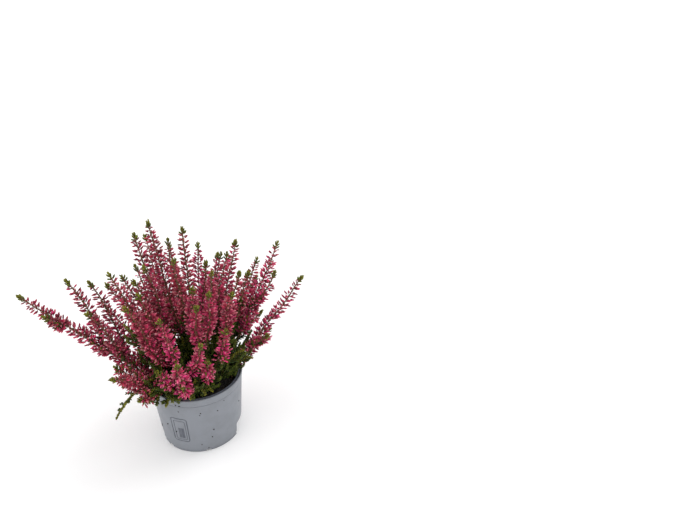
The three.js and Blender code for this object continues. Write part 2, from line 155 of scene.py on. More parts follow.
pot_corners = [
    (PAD_RADIUS, 0), (PAD_RADIUS + 0.0016, FLOOR_UNDERSIDE), (FOOT_RADIUS - 0.0032, FLOOR_UNDERSIDE),
    (FOOT_RADIUS - 0.0022, 0), (FOOT_RADIUS, 0), (FOOT_RADIUS, 0.004), (FOOT_RADIUS + 0.0007, 0.0046),
    (FOOT_RADIUS + 0.0009, GRIP_FULL), (FOOT_RADIUS + 0.0016, GRIP_TOP),
    (RIM_RADIUS - 0.0015, BAND_BOTTOM - 0.0009), (RIM_RADIUS - 0.0018, BAND_BOTTOM - 0.0007),
    (RIM_RADIUS - 0.0018, BAND_BOTTOM - 0.0004), (RIM_RADIUS - 0.0012, BAND_BOTTOM),
    (RIM_RADIUS, RIM_TOP - 0.0007), (RIM_RADIUS - 0.0008, RIM_TOP), (RIM_RADIUS - 0.0015, RIM_TOP - 0.0002),
    (RIM_RADIUS - 0.002, RIM_TOP - 0.0016), (RIM_RADIUS - 0.0031, RIM_TOP - 0.0016),
    (RIM_RADIUS - 0.0035, RIM_TOP - 0.0002), (RIM_RADIUS - 0.0046, RIM_TOP - 0.0002),
    (RIM_RADIUS - 0.0049, BAND_BOTTOM), (RIM_RADIUS - 0.0051, BAND_BOTTOM - 0.003),
    (FOOT_RADIUS - 0.0001 - WALL, GRIP_TOP), (FOOT_RADIUS - 0.0008 - WALL, GRIP_FULL),
    (FOOT_RADIUS - 0.0022 - WALL, FLOOR_TOP), (PAD_RADIUS + 0.001, FLOOR_TOP),
    (PAD_RADIUS - 0.001, FLOOR_UNDERSIDE), (0.0004, FLOOR_UNDERSIDE), (0.0004, 0),
]


def pot_step(middle, a, b):
    """Rows half a millimetre apart on the outer wall where the panel is, and wider elsewhere."""
    outside = middle[0] > FOOT_RADIUS + 0.0003 and b[1] > a[1]
    on_panel = outside and abs(middle[1] - PANEL_MIDDLE) < PANEL_HALF[1] + 0.001
    return PANEL_STEP if on_panel else WALL_STEP


def split_at(outline, heights):
    """The closed outline with a point added wherever its outer wall crosses one of the heights."""
    out = []
    for a, b in zip(outline, np.roll(outline, -1, 0)):
        out.append(a)
        if a[0] > FOOT_RADIUS and b[1] > a[1]:
            out += [a + (b - a) * (z - a[1]) / (b[1] - a[1]) for z in heights if a[1] < z < b[1]]
    return np.array(out)


def on_outer_wall(r, z):
    """Whether a place is on the outside of the wall, from the foot up to just under the band."""
    least_r = np.interp(z, [0, BAND_BOTTOM], [FOOT_RADIUS - 0.001, RIM_RADIUS - 0.003])
    return (r > least_r) & (z < BAND_BOTTOM - 0.001)


panel_ends = [PANEL_MIDDLE - PANEL_HALF[1] - 0.0008, PANEL_MIDDLE + PANEL_HALF[1] + 0.0008]
pot_profile = finer(split_at(rounded_profile(pot_corners, 0.0005), panel_ends), pot_step)
panel_columns = PANEL_BEARING + np.arange(-PANEL_REACH, PANEL_REACH, PANEL_STEP) / PANEL_RADIUS
other_columns = np.linspace(panel_columns[-1], panel_columns[0] + 2 * np.pi, WALL_COLUMNS)[1:-1]
pot_bearings = np.concatenate([panel_columns, other_columns])
profile_r, profile_z = pot_profile[:, :1], pot_profile[:, 1:]
outer_wall = (profile_r > FOOT_RADIUS + 0.0003) & on_outer_wall(profile_r, profile_z)
dented = np.clip((profile_r - PAD_RADIUS - 0.006) / 0.012, 0, 1) * (profile_z < GRIP_TOP)
pot_r = profile_r - dented * grip_depth(pot_bearings[None, :], profile_z)
pot_r = pot_r - outer_wall * PANEL_GROOVE * panel_depth(pot_bearings[None, :], profile_z)
pot_points = np.stack([pot_r * np.sin(pot_bearings), -pot_r * np.cos(pot_bearings),
                       profile_z + 0 * pot_r], -1).reshape(-1, 3)
pot = new_piece("pot_shell", pot_points,
                [grid_faces(len(pot_profile), len(pot_bearings), closed_rows=True)])


def block_points(bearing, width, near, far, low, high):
    """Eight corners of a block lying across the wall at a bearing."""
    out = np.array([np.sin(bearing), -np.cos(bearing), 0])
    side = np.array([np.cos(bearing), np.sin(bearing), 0])
    return np.array([out * r + side * s * width / 2 + np.array([0, 0, z])
                     for z in (low, high) for r, s in ((near, -1), (far, -1), (far, 1), (near, 1))])


BLOCK_FACES = np.array([[0, 3, 2, 1], [4, 5, 6, 7], [0, 1, 5, 4], [1, 2, 6, 5], [2, 3, 7, 6], [3, 0, 4, 7]])
notch_bearings = NOTCH_BEARING + np.arange(NOTCHES) * 2 * np.pi / NOTCHES
blocks = [block_points(bearing, NOTCH_SIZE[0], FOOT_RADIUS - 0.011, FOOT_RADIUS + 0.004,
                       -0.001, NOTCH_SIZE[1]) for bearing in notch_bearings]
block_faces = [BLOCK_FACES + 8 * k for k in range(NOTCHES)]
notch_cutter = new_piece("notch_cutter", np.concatenate(blocks), block_faces, smooth=False)
DRAIN_SIDES = 28
turn = np.arange(DRAIN_SIDES) * 2 * np.pi / DRAIN_SIDES
cut_points, cut_faces = [], []
for k in range(NOTCHES):
    bearing = NOTCH_BEARING + (k + 0.5) * 2 * np.pi / NOTCHES
    middle = DRAIN_AT * np.array([np.sin(bearing), -np.cos(bearing)])
    ring = middle + DRAIN_RADIUS * np.stack([np.cos(turn), np.sin(turn)], 1)
    cut_points += [np.c_[ring, np.full(DRAIN_SIDES, -0.001)], np.c_[ring, np.full(DRAIN_SIDES, 0.009)]]
    start = k * 2 * DRAIN_SIDES
    cut_faces.append(grid_faces(2, DRAIN_SIDES) + start)
    cut_faces.append(np.arange(DRAIN_SIDES)[None, ::-1] + start)
    cut_faces.append(np.arange(DRAIN_SIDES)[None, :] + start + DRAIN_SIDES)
drain_cutter = new_piece("drain_cutter", np.concatenate(cut_points), cut_faces, smooth=False)
for cutter in (notch_cutter, drain_cutter):
    cut = pot.modifiers.new("cut", "BOOLEAN")
    cut.operation = "DIFFERENCE"
    cut.object = cutter
    cut.solver = "EXACT"
cut_mesh = bpy.data.meshes.new_from_object(pot.evaluated_get(bpy.context.evaluated_depsgraph_get()))
pot.modifiers.clear()
pot.data = cut_mesh
for cutter in (notch_cutter, drain_cutter):
    bpy.data.objects.remove(cutter)
pot.data.polygons.foreach_set("use_smooth", np.ones(len(pot.data.polygons), bool))
pot.data.set_sharp_from_angle(angle=np.radians(38))
corners = np.empty(len(pot.data.vertices) * 3)
pot.data.vertices.foreach_get("co", corners)
x, y, z = corners.reshape(-1, 3).T
r, bearing = np.hypot(x, y), np.arctan2(x, -y)


def fading(distance, width):
    """One at no distance, down to nought at the given width to either side."""
    return np.clip(1 - np.abs(distance) / width, 0, 1)


# How dark each place is painted: painted shade in the panel's grooves, under the band and at the foot, and
# inside the rim painted shade with some damp grime
# Painted shade in the grooves and ribs of the moulded panel
in_panel = 0.9 * on_outer_wall(r, z) * panel_depth(bearing, z)
inside = ((r < RIM_RADIUS - 0.0042) & (z > 0.062)) | (z > RIM_TOP - 0.002)
inside_rim = 0.8 * np.clip((RIM_RADIUS - 0.0012 - r) / 0.0006, 0, 1) * inside
# Painted shade under the band's step, strongest at the front and fading out towards the sides
under_band = 0.4 * fading(bearing - np.radians(5), np.radians(55)) * fading(z - BAND_BOTTOM + 0.0005, 0.0005)
under_band = under_band * (r > RIM_RADIUS - 0.0035)
# Painted shade along the bottom edge and round the drain notches, and a painted shade line at the foot's step
at_foot = 0.35 * fading(z, 0.0025)
foot_line = 0.6 * fading(z - 0.0043, 0.0006) * (r > FOOT_RADIUS - 0.001)
painted_shade_and_damp = np.max([in_panel, inside_rim, under_band, at_foot, foot_line], axis=0)
cover = pot.data.attributes.new("painted_shade_and_damp", "FLOAT", "POINT")
cover.data.foreach_set("value", painted_shade_and_damp.astype(np.float32))


def new_material(name):
    """A node material, its node tree and its Principled shader."""
    material = bpy.data.materials.new(name)
    material.use_nodes = True
    tree = material.node_tree
    return material, tree, tree.nodes["Principled BSDF"]


def placed(tree, kind, **values):
    """A node of that kind with its own values set, and inputs by name."""
    node = tree.nodes.new(kind)
    for key, value in values.items():
        if key.startswith("in_"):
            node.inputs[key[3:].replace("_", " ")].default_value = value
        else:
            setattr(node, key, value)
    return node


def make_shade_and_grime_group():
    """Shader group: broad noise on the object's own coordinates, with more darkening low down
    near the floor, moves the colour from a clean to a darker one and changes the roughness.
    Fine noise is the bump height. Where the attribute of painted shade and damp is high, in
    grooves, inside the rim, under the band and at the foot, the colour goes over to a dark
    one: painted shade, with some damp grime inside the rim."""
    tree = bpy.data.node_groups.new("pot_shade_and_grime", "ShaderNodeTree")
    for way, kind, names in (("INPUT", "Color", ("Clean", "Darker", "Shade_and_damp")), ("INPUT", "Float", ("Amount",)),
                             ("OUTPUT", "Color", ("Colour",)), ("OUTPUT", "Float", ("Roughness", "Height"))):
        for name in names:
            tree.interface.new_socket(name=name, in_out=way, socket_type=f"NodeSocket{kind}")
    enter, leave = tree.nodes.new("NodeGroupInput"), tree.nodes.new("NodeGroupOutput")
    where = tree.nodes.new("ShaderNodeTexCoord")
    broad = placed(tree, "ShaderNodeTexNoise", in_Scale=55.0, in_Detail=4.0, in_Roughness=0.6)
    fine = placed(tree, "ShaderNodeTexNoise", in_Scale=900.0, in_Detail=3.0)
    high = placed(tree, "ShaderNodeSeparateXYZ")
    low_darkening = placed(tree, "ShaderNodeMapRange", in_From_Min=0.012, in_From_Max=0.0, in_To_Min=0.0,
                      in_To_Max=0.5)
    spread = placed(tree, "ShaderNodeMapRange", in_From_Min=0.42, in_From_Max=0.75)
    both = placed(tree, "ShaderNodeMath", operation="ADD")
    share = placed(tree, "ShaderNodeMath", operation="MULTIPLY", use_clamp=True)
    mix = placed(tree, "ShaderNodeMix", data_type="RGBA")
    # The pot's painted shade, with some damp grime inside the rim, read from its attribute
    cover = placed(tree, "ShaderNodeAttribute", attribute_name="painted_shade_and_damp")
    shaded_mix = placed(tree, "ShaderNodeMix", data_type="RGBA")
    rough = placed(tree, "ShaderNodeMapRange", in_From_Min=0.3, in_From_Max=0.7, in_To_Min=0.42,
                   in_To_Max=0.58)
    for a, b in ((where.outputs["Object"], broad.inputs["Vector"]),
                 (where.outputs["Object"], fine.inputs["Vector"]),
                 (where.outputs["Object"], high.inputs[0]), (high.outputs["Z"], low_darkening.inputs["Value"]),
                 (broad.outputs["Fac"], spread.inputs["Value"]), (spread.outputs[0], both.inputs[0]),
                 (low_darkening.outputs[0], both.inputs[1]), (both.outputs[0], share.inputs[0]),
                 (enter.outputs["Amount"], share.inputs[1]), (share.outputs[0], mix.inputs["Factor"]),
                 (enter.outputs["Clean"], mix.inputs[6]), (enter.outputs["Darker"], mix.inputs[7]),
                 (mix.outputs[2], shaded_mix.inputs[6]), (enter.outputs["Shade_and_damp"], shaded_mix.inputs[7]),
                 (cover.outputs["Fac"], shaded_mix.inputs["Factor"]),
                 (shaded_mix.outputs[2], leave.inputs["Colour"]), (broad.outputs["Fac"], rough.inputs["Value"]),
                 (rough.outputs[0], leave.inputs["Roughness"]),
                 (fine.outputs["Fac"], leave.inputs["Height"])):
        tree.links.new(a, b)
    return tree


pot_plastic, tree, shader = new_material("grey_blue_pot_plastic")
shader.inputs["IOR"].default_value = 1.49
shade_and_grime = tree.nodes.new("ShaderNodeGroup")
shade_and_grime.node_tree = make_shade_and_grime_group()
shade_and_grime.inputs["Clean"].default_value = POT_COLOUR
shade_and_grime.inputs["Darker"].default_value = (0.155, 0.160, 0.168, 1.0)
# Dark colour for the painted shade in grooves, under the band and at the foot, and for the damp grime inside
# the rim
shade_and_grime.inputs["Shade_and_damp"].default_value = (0.055, 0.063, 0.088, 1.0)
shade_and_grime.inputs["Amount"].default_value = 0.35
bump = placed(tree, "ShaderNodeBump", in_Strength=0.12, in_Distance=0.0004)
tree.links.new(shade_and_grime.outputs["Colour"], shader.inputs["Base Color"])
tree.links.new(shade_and_grime.outputs["Roughness"], shader.inputs["Roughness"])
tree.links.new(shade_and_grime.outputs["Height"], bump.inputs["Height"])
tree.links.new(bump.outputs[0], shader.inputs["Normal"])
pot.data.materials.clear()
pot.data.materials.append(pot_plastic)
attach(pot, "root")
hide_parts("pot")


# The peat. Dark damp fibrous compost that fills the pot to about a centimetre below its top,
# lumpy, with loose crumbs and root fibres lying on it.
SOIL_TOP = 0.072
SOIL_EDGE = 0.0462
PEAT_COLUMNS = 210
PEAT_RINGS = 90
PEAT_SIDES = [(0.0455, 0.064), (0.0412, GRIP_TOP), (0.0355, 0.009), (0.0345, 0.0048), (0.0002, 0.0048)]
CRUMBS = 1500
FIBRES = 240
CRUMB_REACH = 0.0455


def rough_ground(x, y, size, seed, waves=9):
    """A bumpy height between about -1 and 1: a sum of sine waves in random directions whose
    lengths run from the given size down to a quarter of it."""
    rng = np.random.default_rng(seed)
    total = 0.0
    for _ in range(waves):
        turn, phase, scale = rng.uniform(0, 2 * np.pi), rng.uniform(0, 2 * np.pi), rng.uniform(1, 4)
        total = total + np.sin((x * np.cos(turn) + y * np.sin(turn)) * 2 * np.pi * scale / size + phase)
    return total / np.sqrt(waves)


def soil_height(x, y):
    """Height of the peat's top: broad swells, lumps and crumbs, a little lower at the edge."""
    r = np.hypot(x, y)
    lumps = np.abs(rough_ground(x, y, 0.02, 5)) * 0.0014 + np.abs(rough_ground(x, y, 0.007, 6)) * 0.0008
    swell = 0.0011 * np.sin(x * 310 + 1.3) * np.cos(y * 270) + 0.0009 * np.sin(x * 120 - y * 170)
    return SOIL_TOP - 0.0012 + swell + lumps - 0.0022 * np.clip((r - 0.03) / 0.016, 0, 1) ** 2


ring_r = SOIL_EDGE * np.linspace(0.004, 1, PEAT_RINGS)[:, None]
ring_a = np.arange(PEAT_COLUMNS)[None, :] * 2 * np.pi / PEAT_COLUMNS
top_x, top_y = ring_r * np.cos(ring_a), ring_r * np.sin(ring_a)
top = np.stack([top_x, top_y, soil_height(top_x, top_y)], -1)
low_rows = [np.stack([radius * np.cos(ring_a), radius * np.sin(ring_a), height + 0 * ring_a], -1)
            for radius, height in PEAT_SIDES]
peat_points = np.concatenate([top, *low_rows]).reshape(-1, 3)
peat = new_piece("peat_body", peat_points, [
    grid_faces(PEAT_RINGS + len(low_rows), PEAT_COLUMNS),
    np.arange(PEAT_COLUMNS)[None, ::-1],
    np.arange(PEAT_COLUMNS)[None, :] + (PEAT_RINGS + len(low_rows) - 1) * PEAT_COLUMNS])


def repeated(template, faces, places, frames, sizes):
    """Copies of a small shape: each copy is the template times its size, turned by its frame
    of three axes and moved to its place. Returns points and faces."""
    points = places[:, None] + np.einsum("nk,mkj->mnj", template, frames) * sizes[:, None, None]
    count = len(places)
    moved = faces[None] + (np.arange(count) * len(template))[:, None, None]
    return points.reshape(-1, 3), moved.reshape(-1, faces.shape[1])


def random_frames(count, rng):
    """Random turning frames, from a random unit quaternion each."""
    q = rng.normal(size=(count, 4))
    w, x, y, z = (q / np.linalg.norm(q, axis=1)[:, None]).T
    return np.stack([
        np.stack([1 - 2 * (y * y + z * z), 2 * (x * y + w * z), 2 * (x * z - w * y)], -1),
        np.stack([2 * (x * y - w * z), 1 - 2 * (x * x + z * z), 2 * (y * z + w * x)], -1),
        np.stack([2 * (x * z + w * y), 2 * (y * z - w * x), 1 - 2 * (x * x + y * y)], -1)], 1)


CRUMB = np.array([[0, 0, 1], [0.9, 0, 0.2], [0.2, 0.8, 0.1], [-0.8, 0.3, 0.3], [-0.5, -0.7, 0],
                  [0.4, -0.8, 0.2], [0.1, 0.1, -0.7]])
CRUMB_FACES = np.array([[0, 1, 2], [0, 2, 3], [0, 3, 4], [0, 4, 5], [0, 5, 1],
                        [6, 2, 1], [6, 3, 2], [6, 4, 3], [6, 5, 4], [6, 1, 5]])
rng = np.random.default_rng(11)
r, a = CRUMB_REACH * np.sqrt(rng.uniform(0, 1, CRUMBS)), rng.uniform(0, 2 * np.pi, CRUMBS)
x, y = r * np.cos(a), r * np.sin(a)
size = 0.0004 + 0.0012 * rng.uniform(0, 1, CRUMBS) ** 3
points, faces = repeated(CRUMB, CRUMB_FACES, np.stack([x, y, soil_height(x, y) + 0.3 * size], 1),
                         random_frames(CRUMBS, rng), size)
crumbs = new_piece("peat_crumbs", points, [faces], smooth=False)


def thin_tubes(a, b, c, radius, sides=4, steps=6):
    """Many thin tubes at once: each follows a bend from a past b to c and keeps its radius."""
    t = np.linspace(0, 1, steps)[None, :, None]
    middle = a[:, None] * (1 - t) ** 2 + b[:, None] * 2 * t * (1 - t) + c[:, None] * t**2
    along = np.gradient(middle, axis=1)
    along /= np.linalg.norm(along, axis=2, keepdims=True)
    side = np.cross(along, np.array([0.3, 0.2, 1.0]))
    side /= np.linalg.norm(side, axis=2, keepdims=True)
    other = np.cross(along, side)
    turn = np.arange(sides) * 2 * np.pi / sides
    ring = (side[:, :, None] * np.cos(turn)[:, None] + other[:, :, None] * np.sin(turn)[:, None])
    points = middle[:, :, None] + ring * radius[:, None, None, None]
    one = grid_faces(steps, sides)[:, ::-1]
    faces = one[None] + (np.arange(len(a)) * steps * sides)[:, None, None]
    ends = np.arange(sides)
    caps = np.stack([ends, ends[::-1] + (steps - 1) * sides])
    caps = caps[None] + (np.arange(len(a)) * steps * sides)[:, None, None]
    return points.reshape(-1, 3), np.concatenate([faces.reshape(-1, 4), caps.reshape(-1, 4)])


r, a = 0.043 * np.sqrt(rng.uniform(0, 1, FIBRES)), rng.uniform(0, 2 * np.pi, FIBRES)
start = np.stack([r * np.cos(a), r * np.sin(a)], 1)
heading, long = rng.uniform(0, 2 * np.pi, FIBRES), rng.uniform(0.003, 0.010, FIBRES)
reach = np.stack([np.cos(heading), np.sin(heading)], 1) * long[:, None]
end = start + reach
end *= np.minimum(1, CRUMB_REACH / np.maximum(np.hypot(*end.T), 1e-6))[:, None]
bow = (start + end) / 2 + np.stack([-reach[:, 1], reach[:, 0]], 1) * rng.uniform(-0.5, 0.5, (FIBRES, 1))
raised = [np.c_[p, soil_height(p[:, 0], p[:, 1]) + lift]
          for p, lift in ((start, 0.0002), (bow, 0.0022 * rng.uniform(0, 1, FIBRES)), (end, 0.0002))]
points, faces = thin_tubes(*raised, rng.uniform(0.00008, 0.00022, FIBRES))
fibres = new_piece("peat_fibres", points, [faces])


def make_peat_material(name, dark, light, scale):
    """Peat: noise between a dark and a lighter brown, rough, with a coarse bump."""
    material, tree, shader = new_material(name)
    where = tree.nodes.new("ShaderNodeTexCoord")
    noise = placed(tree, "ShaderNodeTexNoise", in_Scale=scale, in_Detail=6.0, in_Roughness=0.7)
    ramp = placed(tree, "ShaderNodeMapRange", in_From_Min=0.42, in_From_Max=0.72)
    mix = placed(tree, "ShaderNodeMix", data_type="RGBA")
    mix.inputs[6].default_value = dark
    mix.inputs[7].default_value = light
    bump = placed(tree, "ShaderNodeBump", in_Strength=0.7, in_Distance=0.0006)
    shader.inputs["Roughness"].default_value = 0.85
    for a, b in ((where.outputs["Object"], noise.inputs["Vector"]),
                 (noise.outputs["Fac"], ramp.inputs["Value"]), (ramp.outputs[0], mix.inputs["Factor"]),
                 (mix.outputs[2], shader.inputs["Base Color"]), (noise.outputs["Fac"], bump.inputs["Height"]),
                 (bump.outputs[0], shader.inputs["Normal"])):
        tree.links.new(a, b)
    return material


peat.data.materials.append(
    make_peat_material("damp_peat", (0.006, 0.005, 0.004, 1), (0.028, 0.024, 0.020, 1), 700))
crumbs.data.materials.append(
    make_peat_material("peat_crumb", (0.009, 0.007, 0.006, 1), (0.055, 0.042, 0.032, 1), 260))
fibres.data.materials.append(
    make_peat_material("root_fibre", (0.03, 0.02, 0.014, 1), (0.11, 0.078, 0.05, 1), 160))
for piece in (peat, crumbs, fibres):
    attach(piece, "root")
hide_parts("peat")


# Peat specks on the pot. Crumbs of the same peat that were splashed on the outside of the wall
# when the plant was watered, and dried on. Each has a bearing in degrees and a height.
SPECKS = [
    (-30.0, 0.0739), (-25.0, 0.0732), (-26.5, 0.0728), (-28.6, 0.0637), (-1.2, 0.0610), (-2.6, 0.0581),
    (20.5, 0.0579), (30.3, 0.0682), (13.1, 0.0317), (10.3, 0.0210), (-5.1, 0.0119), (-51.0, 0.0378),
    (-38.2, 0.0303), (-71.6, 0.0231), (3.8, 0.0052), (61, 0.047), (118, 0.04), (150, 0.058), (190, 0.033),
    (235, 0.049), (290, 0.026), (96, 0.063), (170, 0.014), (262, 0.061),
]
speck_bearing = np.radians([bearing for bearing, _ in SPECKS])
speck_z = np.array([height for _, height in SPECKS])
speck_r = np.interp(speck_z, [0.0046, BAND_BOTTOM - 0.0012, BAND_BOTTOM, RIM_TOP],
                    [FOOT_RADIUS + 0.0009, RIM_RADIUS - 0.0016, RIM_RADIUS - 0.0010, RIM_RADIUS])
size = 0.0008 + 0.0004 * rng.uniform(0, 1, len(SPECKS))
places = np.stack([speck_r * np.sin(speck_bearing), -speck_r * np.cos(speck_bearing), speck_z], 1)
points, faces = repeated(CRUMB, CRUMB_FACES, places, random_frames(len(SPECKS), rng), size)
specks = new_piece("pot_specks", points, [faces], smooth=False)
specks.data.materials.append(bpy.data.materials["peat_crumb"])
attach(specks, "root")


# The flower sprays. Reddish woody stems that fork low down, each spike set with closed pointed
# magenta buds in crossed fans on short stalks, leafy below them and ending in a green tuft.
ROOT_DEPTH = 0.011
LOW_ARCH = 0.013
STEM_RADIUS = 0.00105
TIP_RADIUS = 0.0006
TWIG_RADIUS = 0.00045
BUDDED_TWIG_RADIUS = 0.0005
TWIG_TIP_RADIUS = 0.0003
STALK_RADIUS = 0.00024
STEM_INSET = 0.001
STEM_SURFACE = 0.0004  # where leaves and stalks begin, from a stem's centre line
RING_STEP = 0.004
SWAY = 0.0013
NODE_STEP = 0.0028
NODE_SHIFT = 0.0004
TWIG_NODE_STEP = 0.0023
GREEN_TIP = 0.0065
FAN_DEPTH = 0.07  # the fans fill out over this length below the green tip
YOUNG_LENGTH = 0.012  # and the buds on its first stretch are smaller
BUD_LENGTH = 0.0064
BUD_RADIUS = 0.0010
SHORT_STALK = 0.0004
STALK_GAIN = 0.0033
RIM_ROOM = 0.003  # room that a leafy twig's tip keeps from the rim, or else from the peat
PEAT_ROOM = 0.004

# Every spray: its root on the peat, its tip, and each side spike's start on the main stem and tip.
# full is how densely its fans are filled, ripe and ripening the buds' colour at the tip and its
# gain below, bloom and low the share of the main stem and of a side spike without buds, arch the
# main stem's lift, and bushy whether the main stem may have budded twigs
SPRAYS = [
    dict(root=(-0.026, -0.004), tip=(-0.157, -0.020, 0.221), full=1.15, ripe=0.1, bloom=0.14,
         sides=[(0.72, (-0.137, -0.036, 0.203)), (0.5, (-0.115, 0.002, 0.220)),
                (0.34, (-0.096, 0.017, 0.206)), (0.36, (-0.098, -0.032, 0.198))]),
    dict(root=(-0.017, -0.009), tip=(-0.070, -0.025, 0.236), full=1.0, ripe=0.15, bloom=0.16,
         sides=[(0.34, (-0.060, 0.004, 0.216)), (0.3, (-0.050, -0.012, 0.217)),
                (0.24, (-0.047, -0.036, 0.214)), (0.2, (-0.058, -0.052, 0.212))]),
    dict(root=(-0.012, 0.004), tip=(-0.044, 0.022, 0.254), ripe=0.1, sides=[(0.3, (-0.036, -0.004, 0.228))]),
    dict(root=(-0.004, 0.010), tip=(-0.028, 0.036, 0.259), ripe=0.1,
         sides=[(0.3, (-0.036, 0.072, 0.225)), (0.26, (-0.012, 0.078, 0.214))]),
    dict(root=(0.003, 0.0), tip=(0.006, 0.022, 0.254), ripe=0.1, sides=[(0.32, (-0.006, -0.008, 0.234))]),
    dict(root=(0.007, 0.017), tip=(0.022, 0.085, 0.201), sides=[(0.3, (0.026, 0.034, 0.203))]),
    dict(root=(0.008, -0.009), tip=(0.030, -0.022, 0.220), bloom=0.56, low=0.42,
         sides=[(0.3, (0.024, -0.050, 0.213)), (0.24, (0.008, -0.058, 0.205)),
                (0.28, (0.008, -0.033, 0.212))]),
    dict(root=(0.015, 0.008), tip=(0.064, 0.058, 0.212), bloom=0.4,
         sides=[(0.42, (0.046, 0.070, 0.192)), (0.3, (0.050, 0.032, 0.212))]),
    dict(root=(0.020, 0.0), tip=(0.086, 0.046, 0.192), bloom=0.5, low=0.42,
         sides=[(0.42, (0.072, 0.014, 0.194)), (0.28, (0.058, -0.010, 0.210)),
                (0.2, (0.046, -0.044, 0.206))]),
    dict(root=(0.028, 0.004), tip=(0.110, 0.040, 0.212), bloom=0.34, sides=[(0.5, (0.100, 0.014, 0.190))]),
    dict(root=(0.027, -0.007), tip=(0.130, 0.004, 0.184), full=0.8, bushy=False,
         sides=[(0.36, (0.082, -0.022, 0.132)), (0.3, (0.090, 0.008, 0.118))]),
    dict(root=(-0.024, -0.018), tip=(-0.083, -0.070, 0.142), arch=LOW_ARCH, full=1.1,
         sides=[(0.5, (-0.080, -0.044, 0.137)), (0.34, (-0.062, -0.066, 0.106)),
                (0.24, (-0.076, -0.046, 0.116))]),
    dict(root=(-0.009, -0.025), tip=(-0.028, -0.070, 0.203), full=0.4, ripe=0.3, ripening=0.7, bloom=0.53,
         sides=[(0.24, (-0.018, -0.095, 0.164)), (0.3, (0.008, -0.078, 0.172)),
                (0.2, (-0.038, -0.066, 0.138)), (0.14, (-0.014, -0.074, 0.120))]),
    dict(root=(0.012, -0.020), tip=(0.036, -0.060, 0.172), full=0.45, ripe=0.35, ripening=0.6, bloom=0.58,
         low=0.3, sides=[(0.2, (0.013, -0.066, 0.142))]),
    dict(root=(-0.015, 0.019), tip=(-0.052, 0.088, 0.180),
         sides=[(0.34, (-0.084, 0.062, 0.176)), (0.24, (-0.066, 0.068, 0.128))]),
    dict(root=(-0.005, 0.025), tip=(-0.010, 0.112, 0.188),
         sides=[(0.3, (-0.030, 0.126, 0.142)), (0.24, (0.004, 0.092, 0.122))]),
    dict(root=(0.012, 0.026), tip=(0.044, 0.100, 0.176), sides=[(0.3, (0.028, 0.122, 0.146))]),
    dict(root=(0.022, 0.018), tip=(0.088, 0.084, 0.146), arch=LOW_ARCH,
         sides=[(0.34, (0.087, 0.050, 0.116))]),
    dict(root=(-0.026, 0.009), tip=(-0.088, 0.050, 0.154), sides=[(0.3, (-0.094, 0.018, 0.127))]),
]

# The foot colour is the calyx's dark brown deepened with painted shade, and the pale colour is pale petal
# tips with a painted highlight
BUD_COLOURS = dict(
    foot=np.array([0.07, 0.018, 0.008]), crimson=np.array([0.20, 0.006, 0.030]),
    magenta=np.array([0.43, 0.018, 0.084]), pink=np.array([0.74, 0.040, 0.222]),
    coral=np.array([0.42, 0.040, 0.050]), pale=np.array([0.90, 0.43, 0.43]))
STEM_COLOURS = dict(wood=np.array([0.150, 0.080, 0.050]), young=np.array([0.21, 0.095, 0.055]),
                    green=np.array([0.17, 0.14, 0.045]))
SCALE_COLOUR = np.array([0.100, 0.060, 0.026])
LEAF_COLOURS = dict(deep=np.array([0.018, 0.038, 0.003]), olive=np.array([0.080, 0.104, 0.006]),
                    fresh=np.array([0.158, 0.152, 0.011]), scale=SCALE_COLOUR, pale_scale=SCALE_COLOUR * 1.3)

# Leaves of each kind of stretch: the step from pair to pair, their length, their angle from the
# stem in degrees and their colour, both at the stretch's start and at its end
LEAFING = dict(
    below_buds=(0.0018, 0.0036, (55, 50), ("deep", "olive")),
    among_buds=(0.8 * NODE_STEP, 0.0025, (44, 40), ("scale", "pale_scale")),
    tuft=(0.0015, 0.0056, (58, 20), ("olive", "fresh")),
    twig=(0.0014, 0.0036, (50, 26), ("deep", "olive")),
    twig_end=(0.0011, 0.0026, (50, 25), ("olive", "fresh")))


class Bend:
    """A stem's centre line: a curve from p0 towards p1 and on to p2 that bends in one plane.
    Distances along it are turned into the curve's parameter from a table of chord lengths."""

    def __init__(self, p0, p1, p2):
        self.p0, self.p1, self.p2 = (np.asarray(p, float) for p in (p0, p1, p2))
        side = np.cross(self.p1 - self.p0, self.p2 - self.p1)
        if np.linalg.norm(side) < 1e-3 * np.dot(self.p2 - self.p0, self.p2 - self.p0):
            side = np.cross(self.p2 - self.p0, [1, 0.3, 0])
        self.side = side / np.linalg.norm(side)
        self.table_t = np.linspace(0, 1, 81)
        steps = np.linalg.norm(np.diff(self.at(self.table_t), axis=0), axis=1)
        self.table_s = np.concatenate([[0], np.cumsum(steps)])
        self.length = self.table_s[-1]

    def at(self, t):
        t = np.atleast_1d(t)[:, None]
        return self.p0 * (1 - t) ** 2 + self.p1 * 2 * t * (1 - t) + self.p2 * t**2

    def along(self, t):
        t = np.atleast_1d(t)[:, None]
        d = (self.p1 - self.p0) * (1 - t) + (self.p2 - self.p1) * t
        return d / np.linalg.norm(d, axis=1, keepdims=True)

    def station(self, s):
        """Place, forward, inward and sideways directions at distances s from the root. The place
        sways to both sides of the curve, less near the root."""
        t = np.interp(s, self.table_s, self.table_t)
        forward = self.along(t)
        side = np.broadcast_to(self.side, forward.shape)
        sway = SWAY * np.sin(s * 95 + self.length * 700)[:, None] * np.clip(s / 0.03, 0, 1)[:, None]
        place = self.at(t) + self.side * sway
        return place, forward, np.cross(side, forward), side


def main_bend(root, tip, arch):
    """A main stem: from its root in the peat to its tip, lifted by the arch half way."""
    p0 = np.array([root[0], root[1], SOIL_TOP - ROOT_DEPTH])
    return Bend(p0, (p0 + tip) / 2 + np.array([0, 0, arch]), tip)


